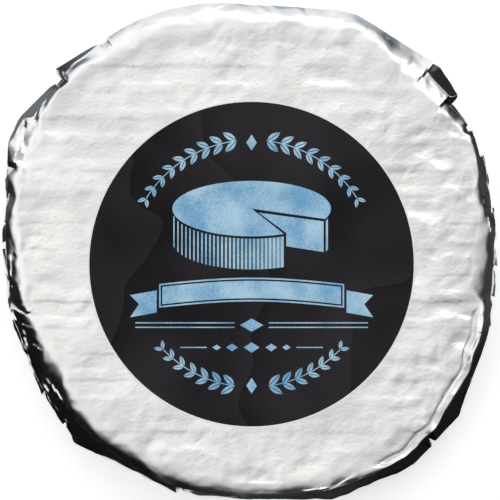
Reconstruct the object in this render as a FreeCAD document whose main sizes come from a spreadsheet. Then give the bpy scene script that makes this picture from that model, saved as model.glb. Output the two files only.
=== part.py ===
# A wheel of soft brie in its aluminium foil, with a round paper label on the face.
#
# The foil is one sheet. The wheel is set face down on it, and the sheet is drawn up
# the side and pressed flat on the underside, so the face is smooth, the side is a run
# of knife pleats, and the spare foil of the sheet's corners stands out as flaps.
# The pack is shut, so cheese and foil are one solid. The label is a second solid.
#
# Frame: +Z up, the face on top, the origin on the resting plane under the middle of
# the bounding box. Angles run from +X towards +Y. Units are millimetres and degrees.

import FreeCAD, Part
import Sketcher

import math
import os
import random

# ---------------------------------------------------------------- driving sizes

SIZES = (
    ("wheel_across", 187.2, "pack across its flats, pleats left out"),
    ("wheel_height", 28.5, "resting plane to face"),
    ("squareness", 2.2, "exponent of the outline: 2 is a circle, more is squarer"),
    ("skew", 1.0, "how much longer one diagonal is than the other, as a radius"),
    ("belly_height", 12.0, "height at which the side stands out furthest"),
    ("shoulder_width", 12.0, "how far the side curls in, up to the face"),
    ("heel_width", 9.0, "how far the side curls in, down to the underside"),
    ("pleat_pitch", 8.0, "usual angle of one small pleat"),
    ("pleat_step", 0.8, "usual step at the edge of a small pleat"),
    ("label_across", 124.0, "label, edge to edge"),
    ("label_thickness", 0.2, "paper and glue"),
    ("label_shift_x", 0.6, "label's centre from the pack's"),
    ("label_shift_y", -4.8, "label's centre from the pack's"),
)

# The flaps of spare foil, each as its corners from where it leaves the side to its free
# edge: (angle round the wheel, how far the foil stands out there). The foil is straight
# from corner to corner. A flap may lie either way round the wheel.
FLAPS = (
    ((10.0, 0.0), (22.5, 1.2)),
    ((85.0, 0.0), (68.0, 3.6), (44.0, 4.9), (37.0, 3.2)),
    ((87.0, 0.0), (102.0, 1.8), (124.0, 0.8)),
    ((126.0, 0.8), (137.0, 3.9)),
    ((139.5, 0.8), (149.0, 4.1), (157.0, 4.3), (173.0, 0.3)),
    ((205.0, 0.0), (214.5, 1.2)),
    ((243.0, 0.6), (227.5, 3.4), (223.5, 0.6)),
    ((243.5, 0.6), (253.0, 1.9)),
    ((256.0, 1.0), (274.0, 1.2), (288.0, 4.2), (304.0, 4.8), (312.5, 4.9)),
    ((342.0, 0.2), (322.0, 4.2), (314.5, 3.1)),
)

SKEW_AXIS = 135.0  # the longer diagonal
PLEAT_SEED = 11
PLEAT_WIDTHS = (0.6, 1.4)  # shares of the pitch, from the narrowest to the widest
PLEAT_STEPS = (0.5, 1.5)  # shares of the usual step
SMALLEST_GAP = 3.0  # angle between two flaps that still takes a small pleat
FREE_EDGE = 0.8  # angle in which the foil drops back beyond a free edge
WIDEST_CHORD = 5.0  # angle that one straight facet may span
SECTIONS_PER_CURL = 6
CURL_TURN = 84.0  # how far the side has turned over where it meets the face
FLAP_TOP_LEVEL = 4  # section at which a flap has run out into the shoulder

doc = FreeCAD.newDocument("Brie")

sheet = doc.addObject("Spreadsheet::Sheet", "Sizes")
for row, (name, value, note) in enumerate(SIZES, start=1):
    sheet.set(f"A{row}", note)
    sheet.set(f"B{row}", str(value))
    sheet.setAlias(f"B{row}", name)
doc.recompute()


def size(name):
    """A driving size, as the sheet holds it."""
    return float(getattr(sheet, name))


# ---------------------------------------------------------------- the foil's outline


def tight_radius(angle):
    """The outline of the wheel with the foil pulled tight, at its belly."""
    turn = math.radians(angle)
    power = size("squareness")
    across = abs(math.cos(turn)) ** power + abs(math.sin(turn)) ** power
    squared = size("wheel_across") / 2 / across ** (1 / power)
    return squared + size("skew") * math.cos(2 * math.radians(angle - SKEW_AXIS))


def flap_span(corners):
    """The angles between which a flap lies."""
    return min(angle for angle, _ in corners), max(angle for angle, _ in corners)


def small_pleats(start, end, chance):
    """Fills the angles between two flaps with small knife pleats of uneven width."""
    if end - start < SMALLEST_GAP:
        return []
    count = max(1, round((end - start) / size("pleat_pitch")))
    shares = [chance.uniform(*PLEAT_WIDTHS) for _ in range(count)]
    pleats, at = [], start
    for share in shares:
        reach = at + (end - start) * share / sum(shares)
        step = size("pleat_step") * chance.uniform(*PLEAT_STEPS)
        if chance.random() < 0.5:
            pleats.append(((at, 0.0), (reach - FREE_EDGE, step)))
        else:
            pleats.append(((reach, 0.0), (at + FREE_EDGE, step)))
        at = reach
    return pleats


def gap_pleats():
    """The small pleats of every gap between one flap and the next, once round."""
    chance = random.Random(PLEAT_SEED)
    spans = sorted(flap_span(corners) for corners in FLAPS)
    pleats = []
    for (_, end), (start, _) in zip(spans, spans[1:] + [(spans[0][0] + 360, 0)]):
        pleats += small_pleats(end, start, chance)
    return pleats


def straight_radius(angle, a, b):
    """Radius at an angle on the straight line between two (angle, radius) points."""
    (angle_a, radius_a), (angle_b, radius_b) = a, b
    from_a = math.sin(math.radians(angle - angle_a))
    to_b = math.sin(math.radians(angle_b - angle))
    whole = math.sin(math.radians(angle_b - angle_a))
    return radius_a * radius_b * whole / (radius_a * from_a + radius_b * to_b)


def pleat_stations(corners):
    """Points along a pleat, corner to corner: angle and how far the foil stands out."""
    found = []
    for (angle_a, out_a), (angle_b, out_b) in zip(corners, corners[1:]):
        a = (angle_a, tight_radius(angle_a) + out_a)
        b = (angle_b, tight_radius(angle_b) + out_b)
        chords = max(1, math.ceil(abs(angle_b - angle_a) / WIDEST_CHORD))
        for i in range(chords + 1):
            angle = angle_a + (angle_b - angle_a) * i / chords
            found.append((angle, straight_radius(angle, a, b) - tight_radius(angle)))
    return found


def outline_stations():
    """Points once round the belly: (angle, tight radius, step out, whether on a flap)."""
    stations = {}
    pleats = [(corners, True) for corners in FLAPS]
    pleats += [(corners, False) for corners in gap_pleats()]
    for corners, on_flap in pleats:
        for angle, out in pleat_stations(corners):
            stations[round(angle % 360, 6)] = (out, on_flap)
    for corners, on_flap in pleats:
        (before, _), (edge, _) = corners[-2:]
        beyond = (edge + math.copysign(FREE_EDGE, edge - before)) % 360
        if not any(low < beyond < high for low, high in map(flap_span, FLAPS)):
            stations.setdefault(round(beyond, 6), (0.0, on_flap))
    return [(angle, tight_radius(angle), *stations[angle]) for angle in sorted(stations)]


# ---------------------------------------------------------------- the wrapped wheel


def curl_angle(level):
    """How far the side has curled over at a section: 0 at the belly, more up and down."""
    return math.radians(CURL_TURN * level / SECTIONS_PER_CURL)


def inset(level):
    """How far a section is drawn in from the belly's outline."""
    width = size("shoulder_width") if level > 0 else size("heel_width")
    return width * (1 - math.cos(curl_angle(level))) / (1 - math.cos(math.radians(CURL_TURN)))


def pleating(level, on_flap):
    """How strongly pleats show at a section. Flaps stay below the shoulder."""
    if abs(level) == SECTIONS_PER_CURL:
        return 0.0
    if level <= 0 or not on_flap:
        return math.cos(curl_angle(level))
    return max(0.0, 1 - (level / FLAP_TOP_LEVEL) ** 2)


def section_points(level, stations):
    """The wheel's outline at one level, about the wheel's own axis."""
    points = []
    for angle, tight, out, on_flap in stations:
        radius = tight + out * pleating(level, on_flap) - inset(level)
        turn = math.radians(angle)
        points.append(FreeCAD.Vector(radius * math.cos(turn), radius * math.sin(turn), 0))
    return points


def build_wheel():
    """Lofts the solid through sections set at heights that the sheet drives."""
    stations = outline_stations()
    belly = Part.makePolygon(section_points(0, stations)).BoundBox
    middle = FreeCAD.Vector(belly.Center.x, belly.Center.y, 0)
    sections = []
    for level in range(-SECTIONS_PER_CURL, SECTIONS_PER_CURL + 1):
        section = doc.addObject("Part::Feature", f"Section_{level + SECTIONS_PER_CURL:02d}")
        points = [point - middle for point in section_points(level, stations)]
        section.Shape = Part.makePolygon(points + points[:1])
        rise = "(Sizes.wheel_height - Sizes.belly_height)" if level > 0 else "Sizes.belly_height"
        share = math.sin(curl_angle(level)) / math.sin(math.radians(CURL_TURN))
        section.setExpression(".Placement.Base.z", f"Sizes.belly_height + {rise} * {share:.9f}")
        sections.append(section)
    doc.recompute()
    wheel = doc.addObject("Part::Loft", "WrappedWheel")
    wheel.Label = "wrapped_wheel"
    wheel.Sections = sections
    wheel.Solid = True
    wheel.Ruled = False
    wheel.MaxDegree = 2
    return wheel


# ---------------------------------------------------------------- the label


def build_label():
    """A disc of paper glued to the face, a little off its middle."""
    body = doc.addObject("PartDesign::Body", "LabelBody")
    body.Label = "label"
    plane = next(f for f in body.Origin.OriginFeatures if f.Role == "XY_Plane")
    sketch = body.newObject("Sketcher::SketchObject", "LabelOutline")
    sketch.AttachmentSupport = (plane, [""])
    sketch.MapMode = "FlatFace"
    centre = FreeCAD.Vector(size("label_shift_x"), size("label_shift_y"), 0)
    circle = sketch.addGeometry(
        Part.Circle(centre, FreeCAD.Vector(0, 0, 1), size("label_across") / 2), False
    )
    across = sketch.addConstraint(Sketcher.Constraint("Diameter", circle, size("label_across")))
    along_x = sketch.addConstraint(Sketcher.Constraint("DistanceX", -1, 1, circle, 3, centre.x))
    along_y = sketch.addConstraint(Sketcher.Constraint("DistanceY", -1, 1, circle, 3, centre.y))
    sketch.setExpression(f"Constraints[{across}]", "Sizes.label_across")
    sketch.setExpression(f"Constraints[{along_x}]", "Sizes.label_shift_x")
    sketch.setExpression(f"Constraints[{along_y}]", "Sizes.label_shift_y")
    pad = body.newObject("PartDesign::Pad", "LabelPaper")
    pad.Profile = sketch
    pad.setExpression("Length", "Sizes.label_thickness")
    body.setExpression(".Placement.Base.z", "Sizes.wheel_height")
    return body


# ---------------------------------------------------------------- build and write

parts = [build_wheel(), build_label()]
doc.recompute()

for item in doc.Objects:
    if "Invalid" in item.State or "Error" in item.State:
        raise RuntimeError(f"{item.Name} failed: {item.State}")

os.makedirs("parts", exist_ok=True)
for part in parts:
    shape = part.Shape
    if shape.isNull() or not shape.isValid() or len(shape.Solids) != 1:
        raise RuntimeError(f"{part.Label} isn't one valid solid")
    shape.exportStep(f"parts/{part.Label}.step")
    box = shape.BoundBox
    print(
        f"{part.Label}: {box.XLength:.2f} x {box.YLength:.2f} x {box.ZLength:.2f} mm, "
        f"{shape.Volume / 1000:.1f} cm3, {len(shape.Faces)} faces, "
        f"from {box.XMin:.2f}, {box.YMin:.2f}, {box.ZMin:.2f}"
    )
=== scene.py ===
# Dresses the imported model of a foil-wrapped brie. Lengths inside the sections are in
# millimetres and are turned to metres where a mesh is made.

import math
import random

import bmesh
import bpy
import numpy as np
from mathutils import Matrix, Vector, noise
from mathutils.bvhtree import BVHTree
from mathutils.geometry import delaunay_2d_cdt


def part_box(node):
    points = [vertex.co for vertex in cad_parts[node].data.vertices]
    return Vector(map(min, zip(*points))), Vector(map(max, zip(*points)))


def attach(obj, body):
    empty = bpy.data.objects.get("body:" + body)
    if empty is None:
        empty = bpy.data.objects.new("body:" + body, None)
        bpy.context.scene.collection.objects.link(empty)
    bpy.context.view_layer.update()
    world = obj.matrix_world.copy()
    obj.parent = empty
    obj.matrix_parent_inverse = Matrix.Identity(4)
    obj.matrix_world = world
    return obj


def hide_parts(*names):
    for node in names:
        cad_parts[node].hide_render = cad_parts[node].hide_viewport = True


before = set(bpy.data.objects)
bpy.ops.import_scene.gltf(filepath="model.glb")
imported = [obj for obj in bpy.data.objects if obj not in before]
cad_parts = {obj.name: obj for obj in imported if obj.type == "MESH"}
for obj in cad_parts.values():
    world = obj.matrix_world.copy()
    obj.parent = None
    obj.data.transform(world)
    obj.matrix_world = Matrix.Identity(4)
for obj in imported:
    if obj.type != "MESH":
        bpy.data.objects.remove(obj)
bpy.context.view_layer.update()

# ---------------------------------------------------------------- camera
# Straight above the pack, with the top of the label away from the viewer. A long lens
# keeps the side of the wheel from showing past its rim.

MM = 0.001
wheel_low, wheel_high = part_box("wrapped_wheel")
WHEEL_ACROSS = (wheel_high.x - wheel_low.x) / MM
WHEEL_HEIGHT = wheel_high.z / MM
PACK_SHARE_OF_VIEW = 0.988
CAMERA_LENS = 300.0
CAMERA_SENSOR = 36.0
CAMERA_UP_SHIFT = 0.55


def set_up(name, data):
    """A new object in the scene, at the origin."""
    made = bpy.data.objects.new(name, data)
    bpy.context.scene.collection.objects.link(made)
    return made


camera_data = bpy.data.cameras.new("camera")
camera_data.lens = CAMERA_LENS
camera_data.sensor_width = CAMERA_SENSOR
camera = set_up("camera", camera_data)
bpy.context.scene.camera = camera
view_across = WHEEL_ACROSS / PACK_SHARE_OF_VIEW
camera_height = WHEEL_HEIGHT / 2 + view_across * CAMERA_LENS / CAMERA_SENSOR
camera.location = (0, CAMERA_UP_SHIFT * MM, camera_height * MM)
camera_data.clip_end = 10.0
bpy.context.scene.view_settings.view_transform = "Standard"

# ---------------------------------------------------------------- the foil's folds
# The wheel is set face down on a square sheet of foil, and the sheet is drawn up the
# side. Its slack is laid over in knife pleats, and the spare foil of its corners
# stands out as flaps. Angles run from +X towards +Y.

FLAT_ACROSS = 187.2
SQUARENESS = 2.2
LONG_DIAGONAL = 135.0
DIAGONAL_EXTRA = 1.0

# Each flap: the height where it leaves the side, how far its free edge leans over the
# height, and its corners (angle, how far the foil stands out).
FLAPS = (
    (21, 1.0, ((10, 0.0), (22.5, 1.2))),
    (28, -2.0, ((85, 0.2), (76, 1.2), (70, 3.1), (65, 3.7), (56, 2.4), (44, 4.9), (37, 3.2))),
    (26, 1.0, ((87, 0.2), (95, 1.1), (102, 1.9), (109, 1.9), (116, 1.6), (124, 0.9))),
    (18.5, 2.0, ((126, 0.8), (137, 3.9))),
    (19, 1.5, ((139.5, 0.8), (149, 4.1), (157, 4.3), (173, 0.3))),
    (20, 2.0, ((205, 0.0), (214.5, 1.2))),
    (19, -2.5, ((243, 0.6), (227.5, 3.4), (223.5, 0.6))),
    (20, 1.5, ((243.5, 0.6), (253, 1.9))),
    (19, 3.0, ((256, 1.0), (274, 1.2), (288, 4.2), (304, 4.8), (312.5, 4.9))),
    (19.5, -2.5, ((342, 0.2), (322, 4.2), (314.5, 3.1))),
)
PLEAT_PITCH = 8.0
PLEAT_STEP = 0.8
PLEAT_SEED = 11
# The narrowest and widest small pleat as shares of the pitch, the least and most it stands
# out as shares of the step, its height on the side, and how far its edge leans.
PLEAT_WIDTHS = (0.6, 1.4)
PLEAT_STEPS = (0.5, 1.5)
PLEAT_TOPS = (19.0, 26.0)
PLEAT_LEANS = (-3.0, 3.0)
PLAIN_TOP = 20.0
SMALLEST_GAP = 3.0
# As angles: how soon the foil drops back past a free edge, how far it runs back under a
# pleat and a flap, how soon it lifts at the root and comes out again from under the fold.
FREE_EDGE = 0.8
PLEAT_OVERLAP = 2.6
FLAP_OVERLAP = 6.0
ROOT_LIFT = 1.5
COMING_OUT = 1.2
WIDEST_OVERLAP = 0.8
FOIL_GAP = 0.22
TUCK = 0.7
COLUMN_PITCH = 0.45
COLUMN_GAP = 0.2
HIDDEN_COLUMNS = 4
HIDDEN_SHARE = 0.2
EVENED_COLUMNS = 6
# Where the foil is tucked in closer than the wheel's own curve: angle and how far.
TUCKED = (
    (0, 0.4), (5, 0.0), (176, 0.0), (184, 0.4), (192, 0.6), (200, 1.1), (206, 0.7), (211, 0.0),
    (342, 0.0), (348, 0.7), (354, 0.8),
)


def round_the_wheel(table, angle):
    """A value given at a few angles, smooth in between and once round."""
    angles = np.array([a for a, _ in table])
    values = np.array([v for _, v in table])
    at = np.mod(angle, 360)
    wrapped = np.concatenate([[angles[-1] - 360], angles, [angles[0] + 360]])
    held = np.concatenate([[values[-1]], values, [values[0]]])
    cell = np.clip(np.searchsorted(wrapped, at, side="right") - 1, 0, len(wrapped) - 2)
    t = (at - wrapped[cell]) / (wrapped[cell + 1] - wrapped[cell])
    t = t * t * (3 - 2 * t)
    return held[cell] * (1 - t) + held[cell + 1] * t


def polar(radius, angle):
    """x and y at a distance from the middle and an angle in degrees."""
    turn = np.radians(angle)
    return radius * np.cos(turn), radius * np.sin(turn)


def tight_radius(angle):
    """The outline of the wheel with the foil pulled tight, at its belly."""
    turn = np.radians(angle)
    across = np.abs(np.cos(turn)) ** SQUARENESS + np.abs(np.sin(turn)) ** SQUARENESS
    squared = FLAT_ACROSS / 2 / across ** (1 / SQUARENESS)
    stretched = squared + DIAGONAL_EXTRA * np.cos(2 * np.radians(angle - LONG_DIAGONAL))
    return stretched - round_the_wheel(TUCKED, angle)


def reach_along(corners, angle):
    """How far a pleat stands out at the angles, straight from corner to corner."""
    reach = np.zeros_like(angle)
    ordered = sorted(corners)
    for (low, out_low), (high, out_high) in zip(ordered, ordered[1:]):
        inside = (angle >= low) & (angle <= high)
        at_low = tight_radius(low) + out_low
        at_high = tight_radius(high) + out_high
        from_low = np.sin(np.radians(angle[inside] - low))
        to_high = np.sin(np.radians(high - angle[inside]))
        whole = math.sin(math.radians(high - low))
        chord = at_low * at_high * whole / (at_low * from_low + at_high * to_high)
        reach[inside] = chord - tight_radius(angle[inside])
    return reach


def small_pleats(start, end, chance, looks):
    """Small knife pleats of uneven width in the gap between two flaps."""
    pleats = []
    if end - start < SMALLEST_GAP:
        return pleats
    count = max(1, round((end - start) / PLEAT_PITCH))
    shares = [chance.uniform(*PLEAT_WIDTHS) for _ in range(count)]
    at = start
    for share in shares:
        reach = at + (end - start) * share / sum(shares)
        step = PLEAT_STEP * chance.uniform(*PLEAT_STEPS)
        if chance.random() < 0.5:
            corners = ((at, 0.0), (reach - FREE_EDGE, step))
        else:
            corners = ((reach, 0.0), (at + FREE_EDGE, step))
        pleats.append((looks.uniform(*PLEAT_TOPS), looks.uniform(*PLEAT_LEANS), corners))
        at = reach
    return pleats


def all_pleats():
    """The flaps, and the small pleats of every gap between them, once round."""
    chance = random.Random(PLEAT_SEED)
    looks = random.Random(PLEAT_SEED + 1)
    pleats = list(FLAPS)
    spans = sorted((min(c)[0], max(c)[0]) for _, _, c in FLAPS)
    for (_, end), (start, _) in zip(spans, spans[1:] + [(spans[0][0] + 360, 0)]):
        pleats += small_pleats(end, start, chance, looks)
    return sorted(pleats, key=lambda pleat: min(pleat[2])[0])


def pleat_columns(pleat):
    """The mesh columns of one pleat, in order round the wheel. Where the foil is folded it
    runs out over the pleat, back under it and on again, so the angles go back and forth."""
    top, lean, corners = pleat
    root, edge = corners[0][0], corners[-1][0]
    onwards = edge > root
    width = abs(edge - root)
    is_flap = max(out for _, out in corners) > PLEAT_STEPS[1] * PLEAT_STEP
    overlap = min(FLAP_OVERLAP if is_flap else PLEAT_OVERLAP, WIDEST_OVERLAP * width)
    deep = edge - overlap if onwards else edge + overlap
    beyond = edge + FREE_EDGE if onwards else edge - FREE_EDGE
    outer = np.linspace(root, edge, max(4, round(width / COLUMN_PITCH)))
    back = np.linspace(edge, deep, HIDDEN_COLUMNS + 1)
    inner = np.linspace(deep, beyond, HIDDEN_COLUMNS + 2)[1:]
    folded = np.concatenate([outer, back, inner])
    out = np.concatenate([reach_along(corners, outer), reach_along(corners, back), 0 * inner])
    rise = np.clip(np.abs(outer - root) / ROOT_LIFT, 0, 1)
    under = np.linspace(FOIL_GAP, -TUCK, len(back))
    out_again = -TUCK * np.clip(np.abs(inner - beyond) / COMING_OUT, 0, 1)
    gap = np.concatenate([2 * FOIL_GAP * rise, under, out_again])
    share = np.concatenate([np.ones(len(outer)), np.full(len(back) + len(inner), HIDDEN_SHARE)])
    if not onwards:
        folded, out, gap, share = folded[::-1], out[::-1], gap[::-1], share[::-1]
    low, high = min(root, beyond), max(root, beyond)
    flat = low + (high - low) * (np.cumsum(share) - share[0]) / share.sum()
    ones = np.ones(len(folded))
    return np.stack([flat, folded, out, gap, top * ones, lean * ones])


def plain_columns(low, high):
    """The mesh columns of plain foil between two pleats."""
    angles = np.arange(low, high - COLUMN_GAP, COLUMN_PITCH)
    columns = np.zeros((6, len(angles)))
    columns[0] = columns[1] = angles
    columns[4] = PLAIN_TOP
    return columns


def foil_columns():
    """Every column once round: flat angle, folded angle, reach, gap, top and lean."""
    pleats = all_pleats()
    start = min(pleats[0][2])[0]
    parts, at = [], start
    for pleat in pleats:
        part = pleat_columns(pleat)
        if part[0, 0] - at > 0.05:
            parts.append(plain_columns(at, part[0, 0]))
        parts.append(part)
        at = max(pleat[2])[0] + (FREE_EDGE if pleat[2][-1][0] > pleat[2][0][0] else 0)
    if start + 360 - at > 0.3:
        parts.append(plain_columns(at, start + 360))
    columns = np.concatenate(parts, axis=1)
    flat, reach = np.sort(columns[0]), EVENED_COLUMNS
    wrapped = np.concatenate([flat[-reach:] - 360, flat, flat[:reach] + 360])
    even = np.ones(2 * reach + 1) / (2 * reach + 1)
    columns[0] = np.convolve(wrapped, even, mode="valid")
    return columns


# ---------------------------------------------------------------- the face under the foil
# The cheese drained on a ribbed mat, so its face has shallow grooves across it, and the
# foil pressed on it shows them, with the rind's gentle lumps.

# The mat's grooves: how far apart, where the first lies, how wide, deep and steep they
# are, how far they bow and waver, and how strong and how many they are.
MAT_PITCH = 9.9
MAT_FIRST = 69.2
GROOVE_WIDTH = 4.4
GROOVE_DEPTH = 0.22
GROOVE_WALL = 1.6
GROOVE_BOW = 0.9
GROOVE_WAVER = 0.7
GROOVE_STRENGTH = 0.55
GROOVES = 15
# The face's level, how far it has fallen at the rim, and how far more on one side.
FACE_LEVEL = WHEEL_HEIGHT - 0.1
DOME = 0.8
DOME_RADIUS = 88.0
SLUMP = 0.0007
SLUMP_FROM = 46.0
# The rind's lumps: how far across, which seed and how high.
LUMPS = ((34.0, 1.5, 0.60), (15.0, 2.5, 0.46))
# The smaller relief: lumps, facets, hollows, and lumps that the label doesn't hold down.
SMALL_LUMP = 0.26
FINE_LUMP = 0.10
FINEST_LUMP = 0.05
FACET_RISE = 0.09
HOLLOW_DEPTH = 0.6
HOLLOW_RIGHT = 0.5
HOLLOW_FROM = 0.15
FREE_LUMP = 0.4
# The wrinkles: how many, how far out and spread over how much, how they lie, half their
# length, their height and half their width.
WRINKLES = 130
WRINKLE_SEED = 31
WRINKLE_OUTER = 91.0
WRINKLE_SPREAD = 27.0
WRINKLE_TURN = (35, 40)
WRINKLE_HALF = (1.2, 4.0)
WRINKLE_RISE = (0.06, 0.15)
WRINKLE_WIDTH = 0.9
LABEL_ACROSS = 124.0
label_low, label_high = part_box("label")
LABEL_MIDDLE = np.array([label_low.x + label_high.x, label_low.y + label_high.y]) / 2 / MM


def field(x, y, scale, seed):
    """Smooth noise over the face, from -1 to 1, with features about `scale` across."""
    return np.array([noise.noise((a / scale, b / scale, seed)) for a, b in zip(x, y)])


def soft_step(low, high, x):
    """0 before low, 1 past high, and smooth between."""
    t = np.clip((x - low) / (high - low), 0, 1)
    return t * t * (3 - 2 * t)


def mat_grooves(x, y):
    """The grooves that the draining mat left, each broken and a little wavy."""
    depth = np.zeros_like(x)
    wave = GROOVE_BOW * field(x, y * 0.3, 30.0, 3.1) + GROOVE_WAVER * field(x, y, 7.0, 4.7)
    for k in range(GROOVES):
        down = y + wave - (MAT_FIRST - MAT_PITCH * k)
        strength = GROOVE_STRENGTH + 1.2 * field(x, 0 * y + 40.0 * k, 22.0, 9.3)
        strength = np.clip(strength + 0.8 * field(x, y, 11.0, 12.3), 0.0, 1.2)
        wall_above = soft_step(-GROOVE_WALL, 0, -down)
        wall_below = soft_step(-1.5 * GROOVE_WALL, 0, down + GROOVE_WIDTH)
        depth += wall_above * wall_below * strength
    return depth * GROOVE_DEPTH


def broad_relief(x, y):
    """The part of the face's relief that paper follows too."""
    return sum(height * field(x, y, across, seed) for across, seed, height in LUMPS)


def dome(x, y):
    """How far the face has fallen away from its middle, a little more on one side."""
    fallen = DOME * (x * x + y * y) / DOME_RADIUS ** 2
    return fallen + SLUMP * np.clip(x - SLUMP_FROM, 0, 60) ** 2


def wrinkles(x, y):
    """Short sharp wrinkles, most of them near the rim and leaning up to the right."""
    chance = random.Random(WRINKLE_SEED)
    height = np.zeros_like(x)
    for _ in range(WRINKLES):
        angle = chance.uniform(0, 360)
        radius = WRINKLE_OUTER - WRINKLE_SPREAD * chance.random() ** 1.6
        at_x, at_y = polar(radius, angle)
        turn = math.radians(chance.gauss(*WRINKLE_TURN))
        half = chance.uniform(*WRINKLE_HALF)
        along = (x - at_x) * math.cos(turn) + (y - at_y) * math.sin(turn)
        across = (y - at_y) * math.cos(turn) - (x - at_x) * math.sin(turn)
        across = across + 0.12 * along * chance.uniform(-1, 1) * along / half
        rise = chance.choice((-1, 1)) * chance.uniform(*WRINKLE_RISE)
        taper = np.clip(1 - np.abs(along) / half, 0, 1)
        height += rise * taper * np.clip(1 - np.abs(across) / WRINKLE_WIDTH, 0, 1)
    return height


def hollows(x, y):
    """Depth of the shallow hollows where the foil has sunk between lumps of the rind."""
    spread = field(x + 0.3 * y, 1.5 * y, 13.0, 8.8) + 0.3 * field(x, y, 5.0, 2.8)
    deepest = HOLLOW_DEPTH + HOLLOW_RIGHT * soft_step(10.0, 70.0, x)
    return deepest * np.clip(spread - HOLLOW_FROM, 0, 1)


def face_relief(x, y):
    """Height of the foil over the flat face."""
    towards_rim = soft_step(64, 88, np.hypot(x, y))
    turned_x, turned_y = x + 0.5 * y, y - 0.5 * x
    small = SMALL_LUMP * field(turned_x, turned_y * 1.5, 8.0, 5.5) + FINE_LUMP * field(x, y, 3.9, 7.5)
    facets = facet_height(FACE_FACETS, x + FACE_FACETS_SHIFT, y)
    small += FACET_RISE * facets + FINEST_LUMP * field(x, y, 2.2, 6.5)
    uneven = 0.3 + 0.3 * towards_rim + 0.25 * soft_step(30.0, 80.0, x)
    patches = soft_step(0.0, 0.45, field(x, y, 19.0, 6.6))
    uneven = uneven + 0.2 * soft_step(-40.0, -80.0, y) + 0.9 * patches
    sunk = hollows(x, y) + mat_grooves(x, y)
    from_label = np.hypot(x - LABEL_MIDDLE[0], y - LABEL_MIDDLE[1]) - LABEL_ACROSS / 2
    unpressed = 0.35 + 0.65 * soft_step(-1.0, 3.0, from_label)
    free = FREE_LUMP * field(x, y, 17.0, 3.5) * soft_step(2.0, 10.0, from_label)
    return broad_relief(x, y) + free + (small * uneven + wrinkles(x, y)) * unpressed - sunk


# ---------------------------------------------------------------- the foil's creases
# Foil can't stretch, so where it is squeezed it breaks into small flat facets. Random
# points joined by triangles give such a field of facets.

UNROLLED_RADIUS = 94.0
ROUND = 2 * math.pi * UNROLLED_RADIUS


def facet_field(seed, along, across, low, high):
    """Facets over the unrolled side: about `along` wide and `across` deep."""
    chance = random.Random(seed)
    columns = round(ROUND / along)
    rows = max(2, round((high - low) / across))
    points, heights = [], []
    for j in range(-1, rows + 2):
        for i in range(columns):
            s = (i + chance.uniform(0.05, 0.95)) * ROUND / columns
            q = low + (j + chance.uniform(0.05, 0.95)) * (high - low) / rows
            height = chance.uniform(-1, 1)
            for turn in (-1, 0, 1):
                if -2 * along < s + turn * ROUND < ROUND + 2 * along:
                    points.append(Vector((s + turn * ROUND, q)))
                    heights.append(height)
    flat, _, faces, _, _, _ = delaunay_2d_cdt(points, [], [], 0, 1e-6)
    corners = [Vector((p.x, p.y, h)) for p, h in zip(flat, heights)]
    return BVHTree.FromPolygons(corners, faces)


def facet_height(tree, s, q):
    """Height of a facet field at points of the unrolled side."""
    heights = np.zeros(len(s))
    down = Vector((0, 0, -1))
    for i, (a, b) in enumerate(zip(s % ROUND, q)):
        hit = tree.ray_cast(Vector((a, b, 10.0)), down)[0]
        heights[i] = hit.z if hit else 0.0
    return heights


FACE_FACETS = facet_field(20, 4.6, 3.6, -100.0, 100.0)
FACE_FACETS_SHIFT = 200.0

# ---------------------------------------------------------------- the foil's shoulder
# Between the face and the side the sheet curls down. It is pulled straight across one
# corner, rolled into a flat hem along one side, and dented where it was handled.

# By angle round the wheel. How far in from the outline the shoulder starts, how far it
# falls to where the foil turns down the side, what share of that fall is rounded before
# it runs straight, and how much of the way out it has come there.
SHOULDER = (
    (0, 9.3), (10, 6.6), (20, 5.2), (28, 5.2), (45, 9.0), (75, 7.2), (90, 7.6), (105, 7.2),
    (115, 6.0), (125, 4.9), (137, 3.8), (152, 4.4), (163, 5.2), (170, 6.2), (180, 7.8), (190, 10.5),
    (199, 12.2), (212, 12.2), (222, 11.3), (230, 10.2), (240, 9.4), (250, 9.5), (260, 7.4),
    (270, 6.7), (280, 6.4), (290, 5.2), (298, 2.6), (304, 1.0), (314, 0.9), (325, 2.4), (331, 3.4),
    (343, 3.4), (346, 4.4), (351, 9.6),
)
FALL = (
    (0, 4.8), (10, 4.0), (20, 2.6), (29, 2.4), (36, 2.9), (44, 3.5), (46, 5.2), (53, 4.9),
    (60, 3.9), (66, 3.7), (74, 3.6), (100, 3.4), (116, 2.8), (126, 2.4), (137, 2.6), (141, 1.6),
    (147, 2.0), (151, 3.4), (160, 3.8), (166, 3.2), (172, 3.2), (180, 4.0), (190, 5.6), (200, 8.0),
    (211, 9.5), (221, 8.4), (230, 6.6), (240, 5.4), (250, 3.0), (260, 2.4), (270, 1.9), (280, 1.9),
    (290, 1.2), (300, 0.6), (314, 0.9), (320, 3.0), (335, 3.8), (344, 2.4), (351, 5.6),
)
ROUNDING = (
    (0, 1.0), (20, 0.75), (30, 0.65), (56, 0.7), (70, 0.9), (80, 1.0), (122, 1.0), (140, 0.6),
    (150, 0.5), (162, 0.6), (168, 0.9), (180, 1.0), (285, 1.0), (300, 0.6), (344, 0.6), (350, 1.0),
)
SHARE = (
    (0, 0.92), (30, 0.85), (36.8, 0.7), (44, 0.60), (45.2, 0.60), (45.9, 0.94), (122, 0.92),
    (126, 0.86), (132, 0.66), (137.6, 0.54), (139.5, 0.5), (148, 0.5), (150, 0.88), (170, 0.92),
)
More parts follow.
